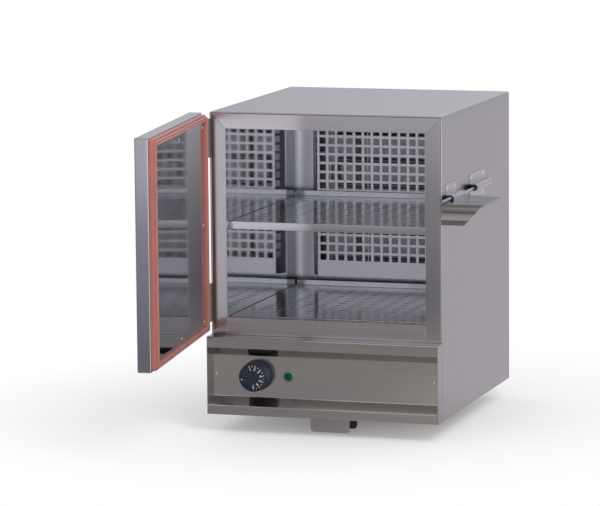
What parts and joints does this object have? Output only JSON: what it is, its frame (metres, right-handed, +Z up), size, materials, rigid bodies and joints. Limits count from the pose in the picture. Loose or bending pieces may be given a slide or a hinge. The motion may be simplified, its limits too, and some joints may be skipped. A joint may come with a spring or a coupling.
{
  "type": "plate warmer cabinet",
  "caption": "Countertop heated plate cabinet with a side-hinged insulated door, slotted shelves, perforated rear guard, control housing with knob and lamp, and a side turn latch.",
  "frame": {"origin": "centre of the underside of the cabinet's base panel", "axes": "+Z up, front (door side) towards -Y, +X to the right of someone facing the front; the door is modelled open"},
  "size_m": [0.5107, 0.861, 0.5362],
  "materials": {
    "casing_steel": "brushed",
    "liner_steel": "polished",
    "shelf_steel": "polished",
    "latch_steel": "brushed",
    "hinge_steel": "satin",
    "fastener_steel": "satin",
    "element_sheath": "oxidised",
    "ceramic_support": "matte, mica board",
    "copper_bulb": "satin",
    "mineral_wool": "fibrous",
    "knob_plastic": "satin black with a blue cast",
    "control_body_plastic": "matte",
    "bezel_plastic": "gloss",
    "green_lens": "translucent",
    "seal_rubber": "moulded silicone",
    "bush_plastic": "matte",
    "spindle_steel": "bright drawn rod",
    "gland_plastic": "matte"
  },
  "bodies": {
    "cabinet": {"outer_wrap": "casing_steel", "base_panel": "casing_steel", "base_front_strip": "casing_steel", "rear_panel": "casing_steel", "rear_panel_screws": "fastener_steel", "frame_left_post": "casing_steel", "frame_right_post": "casing_steel", "frame_top_rail": "casing_steel", "frame_sill": "casing_steel", "liner_left_wall": "liner_steel", "liner_right_wall": "liner_steel", "liner_roof": "liner_steel", "liner_floor": "liner_steel", "liner_rear_wall": "liner_steel", "heater_box": "liner_steel", "heating_element": "element_sheath", "element_supports": "ceramic_support", "thermostat_bulb": "copper_bulb", "wall_insulation": "mineral_wool", "rear_guard_left": "liner_steel", "rear_guard_right": "liner_steel", "guard_screws": "fastener_steel", "upper_runner_left": "liner_steel", "upper_runner_right": "liner_steel", "lower_runner_left": "liner_steel", "lower_runner_right": "liner_steel", "control_housing": "casing_steel", "housing_end_left": "casing_steel", "housing_end_right": "casing_steel", "housing_screws": "fastener_steel", "thermostat_body": "control_body_plastic", "pilot_lamp_bezel": "bezel_plastic", "pilot_lamp_lens": "green_lens", "pilot_lamp_body": "control_body_plastic", "latch_clip_front": "latch_steel", "latch_clip_rear": "latch_steel", "latch_bushes": "bush_plastic", "locating_bracket": "casing_steel", "cable_gland": "gland_plastic", "terminal_block": "gland_plastic", "upper_hinge_frame_leaf": "hinge_steel", "upper_hinge_pin": "fastener_steel", "lower_hinge_frame_leaf": "hinge_steel", "lower_hinge_pin": "fastener_steel"},
    "door": {"door_pan": "casing_steel", "door_insulation": "mineral_wool", "door_gasket": "seal_rubber", "door_inner_panel": "liner_steel", "door_rivets": "fastener_steel", "door_edge_plugs": "fastener_steel", "upper_hinge_door_leaf": "hinge_steel", "lower_hinge_door_leaf": "hinge_steel"},
    "upper_shelf": {"upper_shelf": "shelf_steel"},
    "lower_shelf": {"lower_shelf": "shelf_steel"},
    "knob": {"thermostat_knob": "knob_plastic", "thermostat_spindle": "fastener_steel"},
    "latch": {"latch_spindle": "spindle_steel", "latch_tray": "latch_steel", "latch_catch_plate": "latch_steel"}
  },
  "joints": [
    {"name": "door_hinge", "type": "hinge", "parent": "cabinet", "child": "door", "pos_m": [-0.2025, -0.224, 0.318], "axis": [0, 0, -1], "range_deg": [-83.2, 25]},
    {"name": "upper_shelf_slide", "type": "slide", "parent": "cabinet", "child": "upper_shelf", "axis": [0, -1, 0], "range_m": [0, 0.15]},
    {"name": "lower_shelf_lift", "type": "slide", "parent": "cabinet", "child": "lower_shelf", "axis": [0, 0, 1], "range_m": [0, 0.1]},
    {"name": "knob_turn", "type": "hinge", "parent": "cabinet", "child": "knob", "pos_m": [-0.117, -0.24, 0.0665], "axis": [0, 1, 0], "range_deg": [0, 270]},
    {"name": "latch_turn", "type": "hinge", "parent": "cabinet", "child": "latch", "pos_m": [0.209, -0.16, 0.3685], "axis": [0, 1, 0], "range_deg": [0, 90]}
  ]
}
